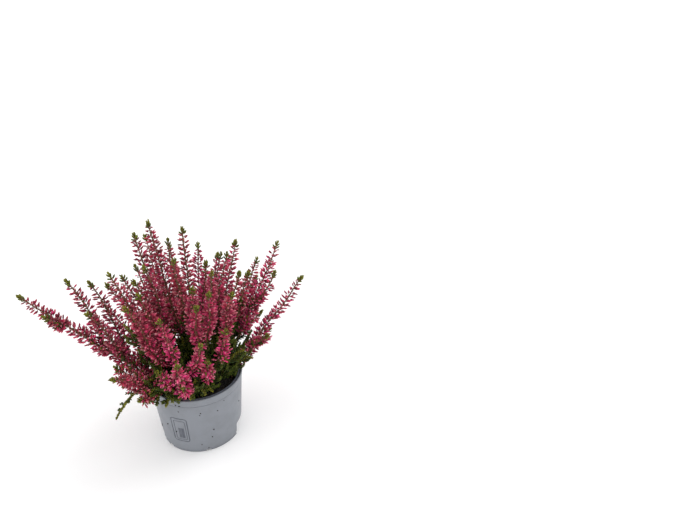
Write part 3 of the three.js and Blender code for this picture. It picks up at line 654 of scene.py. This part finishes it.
def side_bend(parent, t, tip):
    """A side spike: leaves the parent at parameter t, wider than its chord, then bends back."""
    p0, along = parent.at(t)[0], parent.along(t)[0]
    chord = np.asarray(tip) - p0
    long = np.linalg.norm(chord)
    off = chord - along * np.dot(chord, along)
    start = chord / long + 0.4 * off / np.linalg.norm(off)
    return Bend(p0, p0 + start / np.linalg.norm(start) * 0.45 * long, tip)


def unit(v):
    """Rows made one long."""
    return v / np.maximum(np.linalg.norm(v, axis=-1, keepdims=True), 1e-12)


def spindle(radii, heights, sides, broad=1.0, bow=0.0):
    """A small closed pointed body on Z: rings of the given radii at the given heights between
    two end points, broadened along Y and bowed towards +X with the square of the height."""
    turn = np.arange(sides) * 2 * np.pi / sides
    r, z = np.asarray(radii)[:, None], np.asarray(heights)[:, None]
    x, y = r * np.cos(turn) + bow * z**2, broad * r * np.sin(turn)
    rings = np.stack([x, y, z + 0 * turn], -1).reshape(-1, 3)
    count = len(radii)
    points = np.concatenate([rings, [[0, 0, 0]], [[bow, 0, 1]]])
    k = np.arange(sides)
    quads = grid_faces(count, sides)
    faces = np.concatenate([quads[:, [0, 1, 2]], quads[:, [0, 2, 3]],
                            np.stack([(k + 1) % sides, k, np.full(sides, count * sides)], 1),
                            np.stack([k, (k + 1) % sides, np.full(sides, count * sides + 1)], 1)
                            + np.array([(count - 1) * sides, (count - 1) * sides, 0])])
    return points, faces, points[:, 2].copy()


BUD, BUD_FACES, BUD_UP = spindle(np.array([0.88, 0.94]) * BUD_RADIUS / BUD_LENGTH, [0.28, 0.7], 5,
                                 bow=0.14)
LEAF, LEAF_FACES, LEAF_UP = spindle([0.19, 0.26], [0.2, 0.6], 4, broad=1.2, bow=0.22)
TIP_LEAF, TIP_LEAF_FACES, TIP_LEAF_UP = spindle([0.15, 0.17], [0.2, 0.68], 5, broad=1.2, bow=0.2)


class Growth:
    """Collects the points, faces and colours of one colour group of a spray or shoot."""

    def __init__(self):
        self.points, self.faces, self.tints, self.count = [], [], [], 0

    def add(self, points, faces, tints):
        self.points.append(points)
        self.faces.append(faces + self.count)
        self.tints.append(tints)
        self.count += len(points)

    def piece(self, name):
        made = new_piece(name, np.concatenate(self.points), self.faces)
        tint = made.data.attributes.new("tint", "FLOAT_COLOR", "POINT")
        colours = np.concatenate(self.tints)
        tint.data.foreach_set("color", np.c_[colours, np.ones(len(colours))].astype(np.float32).ravel())
        return made


def blend_colours(a, b, share):
    """Row by row mix of two colours."""
    share = np.asarray(share)[..., None]
    return a * (1 - share) + b * share


def grow_tube(growth, bend, start, end, radius_a, radius_b, foot, tip, sides=7):
    """A stem: rings along the bend, closed by a point at each end. Its radius and its colour go
    evenly from those of its foot to those of its tip."""
    s = np.linspace(start, end, max(6, int((end - start) / RING_STEP)))
    place, forward, inward, side = bend.station(s)
    share = (s - start) / (end - start)
    radius = radius_a + (radius_b - radius_a) * share
    turn = np.arange(sides) * 2 * np.pi / sides
    ring = inward[:, None] * np.cos(turn)[:, None] + side[:, None] * np.sin(turn)[:, None]
    points = (place[:, None] + ring * radius[:, None, None]).reshape(-1, 3)
    quads = grid_faces(len(s), sides)
    k = np.arange(sides)
    first, last = len(points), len(points) + 1
    ends = [place[:1] - forward[:1] * radius_a * 0.5, place[-1:] + forward[-1:] * radius_b]
    points = np.concatenate([points, *ends])
    faces = np.concatenate([quads[:, [0, 1, 2]], quads[:, [0, 2, 3]],
                            np.stack([(k + 1) % sides, k, np.full(sides, first)], 1),
                            np.stack([k + (len(s) - 1) * sides, (k + 1) % sides + (len(s) - 1) * sides,
                                      np.full(sides, last)], 1)])
    tints = blend_colours(STEM_COLOURS[foot], STEM_COLOURS[tip],
                          np.concatenate([np.repeat(share, sides), [0, 1]]))
    growth.add(points, faces, tints)


def grow_stalks(growth, a, b):
    """Short bud stalks: a three-sided taper from each a to its b."""
    turn = np.arange(3) * 2 * np.pi / 3
    along = unit(b - a)
    side = unit(np.cross(along, np.array([0.31, 0.22, 0.93])))
    other = np.cross(along, side)
    ring = side[:, None] * np.cos(turn)[:, None] + other[:, None] * np.sin(turn)[:, None]
    points = np.concatenate([a[:, None] + ring * STALK_RADIUS, b[:, None] + ring * STALK_RADIUS * 0.7], 1)
    one = np.concatenate([grid_faces(2, 3)[:, [0, 1, 2]], grid_faces(2, 3)[:, [0, 2, 3]],
                          [[2, 1, 0], [3, 4, 5]]])
    faces = (one[None] + (np.arange(len(a)) * 6)[:, None, None]).reshape(-1, 3)
    growth.add(points.reshape(-1, 3), faces, np.broadcast_to(STEM_COLOURS["young"], (len(a) * 6, 3)))


def bowed_frames(heading, up):
    """Turning frames for small bodies that point along their heading and bow towards up. The
    bow's direction is up without its share along the heading, made one long."""
    inward = unit(up - heading * np.einsum("ij,ij->i", up, heading)[:, None])
    return np.stack([inward, np.cross(heading, inward), heading], 1)


def grow_buds(growth, places, heading, up, sizes, ripeness, warmth, rng):
    """Buds at places: each points along its heading and bows towards up. Ripeness from 0 to 1
    moves its colour from crimson over magenta to pink, warmth mixes in coral, the foot is
    dark brown, the calyx's brown deepened with painted shade, and the end is pale on some,
    pale petal tips with a painted highlight."""
    points, faces = repeated(BUD, BUD_FACES, places, bowed_frames(heading, up), sizes * BUD_LENGTH)
    body = blend_colours(BUD_COLOURS["crimson"], BUD_COLOURS["magenta"], np.clip(ripeness * 2, 0, 1))
    body = blend_colours(body, BUD_COLOURS["pink"], np.clip(ripeness * 2 - 1, 0, 1))
    body = blend_colours(body, BUD_COLOURS["coral"], np.full(len(places), warmth))
    body = body * rng.uniform(0.40, 1.5, (len(places), 1))
    up_share = BUD_UP[None, :]
    # Darker foot: the calyx's brown, deepened with painted shade where the buds crowd the stalk
    foot = np.clip(1 - up_share / 0.36, 0, 1) * rng.uniform(0.4, 1, (len(places), 1))
    tint = blend_colours(body[:, None], BUD_COLOURS["foot"], foot)
    # Pale end on some: pale petal tips, with a painted highlight
    end = np.clip((up_share - 0.6) / 0.4, 0, 1) * rng.uniform(0, 1, (len(places), 1)) ** 1.8
    tint = blend_colours(tint, BUD_COLOURS["pale"], end)
    growth.add(points, faces, tint.reshape(-1, 3))


def grow_leaves(growth, places, heading, up, sizes, colours, rng, at_tip):
    """Leaves at places, pointing along their heading and bowed towards up, in the broad shape of
    the scale leaves or the slimmer one of the green tips. They are painted darker at their foot
    and lighter towards their ends: painted shade and painted light along each leaf."""
    shape, faces, height = (TIP_LEAF, TIP_LEAF_FACES, TIP_LEAF_UP) if at_tip else (LEAF, LEAF_FACES, LEAF_UP)
    points, faces = repeated(shape, faces, places, bowed_frames(heading, up), sizes)
    shade = colours * rng.uniform(0.6, 1.4, (len(places), 1))
    # Painted shade at each leaf's foot and painted light towards its end
    light = 0.55 + 0.7 * height[None, :, None]
    growth.add(points, faces, (shade[:, None] * light).reshape(-1, 3))


def crossed_pairs(bend, s, rng, wobble=0.25):
    """For nodes at distances s: place, forward and outward directions of two opposite sides,
    each pair turned a quarter from the last."""
    place, forward, inward, side = bend.station(s)
    quarter = np.arange(len(s)) * np.pi / 2 + rng.uniform(-wobble, wobble, len(s)) + bend.length * 50
    both = np.concatenate([quarter, quarter + np.pi])
    place, forward, inward, side = (np.concatenate([v, v]) for v in (place, forward, inward, side))
    out = inward * np.cos(both)[:, None] + side * np.sin(both)[:, None]
    return place, forward, out


def grow_leafy_stretch(leaves, bend, start, end, kind, rng):
    """Leaves in crossed pairs from start to end, of a kind of stretch from the table: the angle
    from the stem and the colour go evenly from the first value to the second. A tuft has the
    slimmer leaves of the green tips."""
    step, length, spreads, (first, last) = LEAFING[kind]
    s = np.arange(start, end, step)
    if not len(s):
        return
    place, forward, out = crossed_pairs(bend, s, rng)
    share = np.tile(np.linspace(0, 1, len(s)), 2)
    spread = spreads[0] + (spreads[1] - spreads[0]) * share + rng.uniform(-10, 10, len(share))
    spread = np.radians(spread)[:, None]
    heading = unit(forward * np.cos(spread) + out * np.sin(spread))
    size = length * (1 - 0.3 * share**2) * rng.uniform(0.8, 1.15, len(share))
    colours = blend_colours(LEAF_COLOURS[first], LEAF_COLOURS[last], share)
    grow_leaves(leaves, place + out * STEM_SURFACE, heading, forward, size, colours, rng,
                at_tip=kind == "tuft")


def side_twig(bend, s, long, lean, rng):
    """A short side twig: leaves the stem at distance s and curves up, long metres to its tip."""
    place, forward, inward, side = (v[0] for v in bend.station(np.array([s])))
    turn = rng.uniform(0, 2 * np.pi)
    out = inward * np.cos(turn) + side * np.sin(turn)
    tip = place + unit(forward * 0.8 + out * lean + np.array([0, 0, 0.3])) * long
    return Bend(place, place + unit(forward * 0.4 + out) * long * 0.5, tip)


def grow_twig_stem(stems, twig, radius):
    """The stem of a short side twig: reddish at its foot and green at its end."""
    grow_tube(stems, twig, 0.0, twig.length, radius, TWIG_TIP_RADIUS, "young", "green", sides=4)


def grow_green_twigs(stems, leaves, bend, start, end, rng, step, longest):
    """Short leafy side twigs all round a stem, a step apart. One whose tip would lie low down
    inside the rim is left out."""
    for s in np.arange(start, end, step):
        twig = side_twig(bend, s, longest * rng.uniform(0.55, 1.0), 0.8, rng)
        if np.hypot(*twig.p2[:2]) < RIM_RADIUS + RIM_ROOM and twig.p2[2] < SOIL_TOP + PEAT_ROOM:
            continue
        grow_twig_stem(stems, twig, TWIG_RADIUS)
        grow_leafy_stretch(leaves, twig, 0.001, twig.length, "twig", rng)


# Each bud of a fan: its turn from the middle in degrees, how full a node has to be for it, and how
# long its stalk is beside the others'
FAN = ((0.0, 0.3, 1.0), (30.0, 1.5, 1.0), (-30.0, 2.3, 1.0), (12.0, 3.2, 0.4))


def grow_spike(buds, stems, leaves, bend, bloom, full, ripe, ripening, warmth, rng):
    """One flowering stretch: at most nodes two opposite fans of stalked buds, up to four buds each
    and fuller lower down, with scale leaves along the stem. Its end is a green tuft, whose leaves
    stand well out and close over the tip."""
    end = bend.length - GREEN_TIP
    s = np.arange(bloom, end, NODE_STEP)
    s = s + rng.uniform(-NODE_SHIFT, NODE_SHIFT, len(s))
    place, forward, out = crossed_pairs(bend, s, rng, 0.15)
    from_tip = end - np.tile(s, 2)
    depth = np.clip(from_tip / FAN_DEPTH, 0, 1)
    fullness = 1.5 + 2.4 * full * depth**0.6 + rng.uniform(-0.9, 0.9, len(depth))
    fullness[rng.uniform(0, 1, len(depth)) < 0.06] = 0
    around = np.cross(forward, out)
    for turn, least, stalk in FAN:
        grown = fullness >= least
        count = grown.sum()
        if not count:
            continue
        angle = np.radians(turn + rng.uniform(-12, 12, count))[:, None]
        away = out[grown] * np.cos(angle) + around[grown] * np.sin(angle)
        tilt = np.radians(78 - 12 * depth[grown] + rng.uniform(-16, 16, count))[:, None]
        heading = unit(forward[grown] * np.cos(tilt) + away * np.sin(tilt))
        reach = (SHORT_STALK + STALK_GAIN * depth[grown]**0.6) * rng.uniform(0.3, 1.2, count) * stalk
        foot = place[grown] + away * STEM_SURFACE
        head = foot + heading * reach[:, None]
        grow_stalks(stems, foot, head)
        size = (0.66 + 0.34 * np.clip(from_tip[grown] / YOUNG_LENGTH, 0, 1)) * rng.uniform(0.84, 1.12, count)
        ripeness = np.clip(ripe + ripening * depth[grown] + rng.normal(0, 0.22, count), 0, 1)
        grow_buds(buds, head, heading, forward[grown], size, ripeness, warmth, rng)
    grow_leafy_stretch(leaves, bend, bloom, end, "among_buds", rng)
    grow_leafy_stretch(leaves, bend, end - 0.001, bend.length - 0.0008, "tuft", rng)


def grow_branchlets(buds, stems, leaves, bend, start, end, ripe, warmth, rng, step, longest):
    """Short budded side twigs low down on a spike, each with a few nodes and a green end."""
    for s in np.arange(start, end, step):
        twig = side_twig(bend, s, longest * rng.uniform(0.6, 1.0), 1.0, rng)
        grow_twig_stem(stems, twig, BUDDED_TWIG_RADIUS)
        nodes = np.arange(0.0025, twig.length - 0.0005, TWIG_NODE_STEP)
        place, forward, out = crossed_pairs(twig, nodes, rng)
        tilt = np.radians(52 + rng.uniform(-14, 14, len(place)))[:, None]
        heading = unit(forward * np.cos(tilt) + out * np.sin(tilt))
        head = place + heading * 0.0008
        ripeness = np.clip(ripe + rng.normal(0, 0.25, len(place)), 0, 1)
        grow_buds(buds, head, heading, forward, rng.uniform(0.75, 1.0, len(place)), ripeness, warmth, rng)
        grow_leafy_stretch(leaves, twig, twig.length - 0.0022, twig.length, "twig_end", rng)


def make_growth_group():
    """Shader group: a growth's own tint, varied a little by fine noise on object coordinates."""
    tree = bpy.data.node_groups.new("growth_tint", "ShaderNodeTree")
    tree.interface.new_socket(name="Variation", in_out="INPUT", socket_type="NodeSocketFloat")
    tree.interface.new_socket(name="Colour", in_out="OUTPUT", socket_type="NodeSocketColor")
    enter, leave = tree.nodes.new("NodeGroupInput"), tree.nodes.new("NodeGroupOutput")
    tint = placed(tree, "ShaderNodeAttribute", attribute_name="tint")
    where = tree.nodes.new("ShaderNodeTexCoord")
    noise = placed(tree, "ShaderNodeTexNoise", in_Scale=420.0, in_Detail=2.0)
    centred = placed(tree, "ShaderNodeMath", operation="SUBTRACT")
    centred.inputs[1].default_value = 0.5
    scaled = placed(tree, "ShaderNodeMath", operation="MULTIPLY_ADD")
    scaled.inputs[2].default_value = 1.0
    shade = placed(tree, "ShaderNodeVectorMath", operation="SCALE")
    for a, b in ((where.outputs["Object"], noise.inputs["Vector"]),
                 (noise.outputs["Fac"], centred.inputs[0]), (centred.outputs[0], scaled.inputs[0]),
                 (enter.outputs["Variation"], scaled.inputs[1]),
                 (tint.outputs["Color"], shade.inputs[0]), (scaled.outputs[0], shade.inputs["Scale"]),
                 (shade.outputs[0], leave.inputs["Colour"])):
        tree.links.new(a, b)
    return tree


growth_tint = make_growth_group()


def make_growth_material(name, roughness, variation):
    """Living surface: the growth's tint through the tint group, soft and slightly waxy."""
    material, tree, shader = new_material(name)
    group = tree.nodes.new("ShaderNodeGroup")
    group.node_tree = growth_tint
    group.inputs["Variation"].default_value = variation
    tree.links.new(group.outputs["Colour"], shader.inputs["Base Color"])
    shader.inputs["Roughness"].default_value = roughness
    shader.inputs["Specular IOR Level"].default_value = 0.25
    return material


bud_skin = make_growth_material("bud_skin", 0.5, 0.5)
stem_bark = make_growth_material("stem_bark", 0.75, 1.0)
leaf_skin = make_growth_material("leaf_skin", 0.5, 0.6)


def finish_growth(growth, name, material, node=None):
    """Makes the piece, gives it its material, hangs it on the root body and hides the model part that it
    replaces, if one is given.
    """
    piece = growth.piece(name)
    piece.data.materials.append(material)
    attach(piece, "root")
    if node:
        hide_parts(node)
    return piece


for number, spray in enumerate(SPRAYS, 1):
    rng = np.random.default_rng(100 + number)
    buds, stems, leaves = Growth(), Growth(), Growth()
    main = main_bend(spray["root"], np.array(spray["tip"]), spray.get("arch", 0.0))
    grow_tube(stems, main, STEM_INSET, main.length - STEM_INSET, STEM_RADIUS, TIP_RADIUS, "wood", "young")
    outward = min(1.0, np.hypot(*spray["tip"][:2]) / 0.1)
    bloom = max(main.length * spray.get("bloom", 0.4 - 0.2 * outward), ROOT_DEPTH + 0.022)
    ripe, warmth = spray.get("ripe", rng.uniform(0.1, 0.5)), rng.uniform(0.0, 0.35)
    full, ripening = spray.get("full", 0.85), spray.get("ripening", 0.34)
    grow_spike(buds, stems, leaves, main, bloom, full, ripe, ripening, warmth, rng)
    if outward > 0.6 and spray.get("bushy", True):
        grow_branchlets(buds, stems, leaves, main, bloom, main.length * 0.62, ripe + ripening, warmth,
                        rng, step=0.0042, longest=0.015)
    grow_leafy_stretch(leaves, main, ROOT_DEPTH + 0.006, bloom, "below_buds", rng)
    grow_green_twigs(stems, leaves, main, ROOT_DEPTH + 0.007, bloom + 0.02 * (1 - outward), rng,
                     step=0.0048, longest=0.016)
    for t, tip in spray["sides"]:
        twig = side_bend(main, t, np.array(tip))
        grow_tube(stems, twig, 0.0, twig.length - STEM_INSET, STEM_RADIUS * 0.8, TIP_RADIUS,
                  "wood", "young")
        low = max(0.007, twig.length * spray.get("low", 0.42 - 0.32 * outward))
        grow_spike(buds, stems, leaves, twig, low, full, ripe, ripening, warmth, rng)
        grow_leafy_stretch(leaves, twig, 0.004, low, "below_buds", rng)
        grow_green_twigs(stems, leaves, twig, 0.006, low + 0.01, rng, step=0.0055, longest=0.013)
        if tip[2] < 0.15:
            grow_branchlets(buds, stems, leaves, twig, low, twig.length * 0.8, ripe + ripening, warmth,
                            rng, step=0.0040, longest=0.010)
    node = f"flower_spray_{number:02d}"
    finish_growth(buds, f"{node}_buds", bud_skin, node)
    finish_growth(stems, f"{node}_stems", stem_bark)
    finish_growth(leaves, f"{node}_leaves", leaf_skin)


# The leafy shoots. Green twigs without flowers that fill the foot of the plant, close set with
# scale leaves and forked into short side twigs.
SHOOT_ARCH = 0.026
SHOOT_RADIUS = 0.0009
SHOOT_TIP_RADIUS = 0.00035
SPRIG_RADIUS = 0.0005
SPRIG_ARCH = 0.012
LEAFING.update(
    shoot=(0.0015, 0.0040, (50, 26), ("deep", "fresh")),
    light_shoot=(0.0015, 0.0040, (50, 26), ("olive", "fresh")),
    sprig=(0.0014, 0.0040, (52, 28), ("deep", "fresh")))

# Every shoot: its root on the peat and its tip. twigs is the step from one side twig to the next,
# reach the longest twig, leafing the kind of its leaves, and drape the start and tip of each
# sprig that hangs over the rim
SHOOTS = [
    dict(root=(-0.020, -0.026), tip=(-0.064, -0.036, 0.182), twigs=0.007, leafing="light_shoot"),
    dict(root=(-0.031, -0.013), tip=(-0.052, -0.046, 0.112), twigs=0.005,
         drape=[(0.3, (-0.056, -0.036, 0.086)), (0.36, (-0.050, -0.044, 0.085))]),
    dict(root=(-0.015, -0.031), tip=(-0.036, -0.057, 0.112),
         drape=[(0.3, (-0.036, -0.056, 0.085)), (0.4, (-0.029, -0.052, 0.086)),
                (0.2, (-0.022, -0.049, 0.085))]),
    dict(root=(-0.001, -0.032), tip=(-0.002, -0.060, 0.112),
         drape=[(0.2, (0.015, -0.045, 0.085)), (0.3, (0.006, -0.050, 0.086)),
                (0.25, (-0.009, -0.053, 0.086))]),
    dict(root=(0.003, -0.022), tip=(0.010, -0.046, 0.134)),
    dict(root=(0.021, -0.014), tip=(0.052, -0.040, 0.128)),
    dict(root=(0.036, 0.002), tip=(0.070, 0.010, 0.106)),
    dict(root=(0.034, 0.012), tip=(0.066, 0.036, 0.124)),
    dict(root=(0.028, 0.027), tip=(0.048, 0.058, 0.116)),
    dict(root=(0.003, 0.035), tip=(0.006, 0.066, 0.116)),
    dict(root=(-0.018, 0.030), tip=(-0.034, 0.060, 0.118)),
    dict(root=(-0.033, 0.018), tip=(-0.058, 0.041, 0.108)),
    dict(root=(-0.036, 0.0), tip=(-0.072, -0.006, 0.112), twigs=0.006),
    dict(root=(-0.021, -0.011), tip=(-0.088, -0.046, 0.070), arch=0.060, twigs=0.007, reach=0.009,
         leafing="light_shoot"),
    dict(root=(-0.009, -0.015), tip=(-0.020, -0.038, 0.142)),
    dict(root=(-0.019, 0.003), tip=(-0.046, 0.004, 0.140), twigs=0.006),
    dict(root=(0.017, -0.010), tip=(0.038, -0.032, 0.140)),
    dict(root=(0.022, 0.010), tip=(0.046, 0.022, 0.138)),
    dict(root=(0.002, 0.011), tip=(0.006, 0.042, 0.142)),
    dict(root=(-0.013, 0.012), tip=(-0.036, 0.034, 0.140)),
    dict(root=(0.036, -0.009), tip=(0.062, -0.026, 0.106)),
    dict(root=(-0.027, 0.023), tip=(-0.050, 0.052, 0.112)),
    dict(root=(-0.008, 0.035), tip=(-0.015, 0.048, 0.130)),
    dict(root=(-0.005, -0.002), tip=(-0.009, 0.006, 0.126)),
    dict(root=(-0.028, -0.023), tip=(-0.049, -0.056, 0.104),
         drape=[(0.4, (-0.044, -0.052, 0.085)), (0.5, (-0.052, -0.048, 0.086))]),
]


def hanging_bend(parent, t, tip):
    """A sprig that leaves its shoot at parameter t, rises over the rim and hangs to its tip."""
    start = parent.at(t)[0]
    return Bend(start, (start + tip) / 2 + np.array([0, 0, SPRIG_ARCH]), tip)


for number, shoot in enumerate(SHOOTS, 1):
    rng = np.random.default_rng(300 + number)
    stems, leaves = Growth(), Growth()
    main = main_bend(shoot["root"], np.array(shoot["tip"]), shoot.get("arch", SHOOT_ARCH))
    grow_tube(stems, main, STEM_INSET, main.length - STEM_INSET, SHOOT_RADIUS, SHOOT_TIP_RADIUS,
              "wood", "green")
    grow_leafy_stretch(leaves, main, ROOT_DEPTH + 0.005, main.length, shoot.get("leafing", "shoot"), rng)
    grow_green_twigs(stems, leaves, main, ROOT_DEPTH + 0.008, main.length - 0.008, rng,
                     step=shoot.get("twigs", 0.0032), longest=shoot.get("reach", 0.020))
    for t, tip in shoot.get("drape", ()):
        sprig = hanging_bend(main, t, np.array(tip))
        grow_twig_stem(stems, sprig, SPRIG_RADIUS)
        grow_leafy_stretch(leaves, sprig, 0.002, sprig.length, "sprig", rng)
        grow_green_twigs(stems, leaves, sprig, 0.006, sprig.length - 0.003, rng, step=0.0032, longest=0.010)
    node = f"leafy_shoot_{number:02d}"
    finish_growth(leaves, f"{node}_leaves", leaf_skin, node)
    finish_growth(stems, f"{node}_stem", stem_bark)


# The studio. A white floor that runs out of the picture under even white daylight, with one
# broad soft lamp high on the right and a weaker, broader one high on the left.
FLOOR_SIZE = 6.0
floor = new_piece("studio_floor", np.array([[-1, -1, 0], [1, -1, 0], [1, 1, 0], [-1, 1, 0]]) * FLOOR_SIZE,
                  [np.array([[0, 1, 2, 3]])], smooth=False)
floor_paint, tree, shader = new_material("white_studio_floor")
shader.inputs["Base Color"].default_value = (0.96, 0.96, 0.96, 1)
shader.inputs["Roughness"].default_value = 0.9
shader.inputs["Specular IOR Level"].default_value = 0.0
floor.data.materials.append(floor_paint)

sky = bpy.data.worlds.new("studio_sky")
bpy.context.scene.world = sky
sky.use_nodes = True
sky.node_tree.nodes["Background"].inputs["Color"].default_value = (1.0, 1.0, 1.0, 1)
sky.node_tree.nodes["Background"].inputs["Strength"].default_value = 1.06

LAMPS = [("key_light", 0.58, 32.0, (0.9, 0.3, 1.4)), ("fill_light", 0.42, 45.0, (-1.2, -0.1, 1.0))]
for name, energy, spread, place in LAMPS:
    lamp = bpy.data.lights.new(name, "SUN")
    lamp.energy, lamp.angle = energy, np.radians(spread)
    light = bpy.data.objects.new(name, lamp)
    light.rotation_euler = (-Vector(place)).to_track_quat("-Z", "Y").to_euler()
    bpy.context.scene.collection.objects.link(light)
bpy.context.scene.view_settings.view_transform = "Standard"


# The camera stands where the photograph was taken from: in front, above, and turned a little to
# the right, so that the pot stands in the lower left of the picture.
CAMERA_PLACE = (0.0, -0.6605, 0.5871)
CAMERA_PITCH = np.radians(29.68)
CAMERA_HEADING = np.radians(15.55)
lens = bpy.data.cameras.new("photo_camera")
lens.lens, lens.sensor_width = 36.0, 36.0
lens.clip_start, lens.clip_end = 0.01, 50
camera = bpy.data.objects.new("photo_camera", lens)
bpy.context.scene.collection.objects.link(camera)
camera.location = CAMERA_PLACE
aim = Vector((np.sin(CAMERA_HEADING) * np.cos(CAMERA_PITCH), np.cos(CAMERA_HEADING) * np.cos(CAMERA_PITCH),
              -np.sin(CAMERA_PITCH)))
camera.rotation_euler = aim.to_track_quat("-Z", "Y").to_euler()
bpy.context.scene.camera = camera
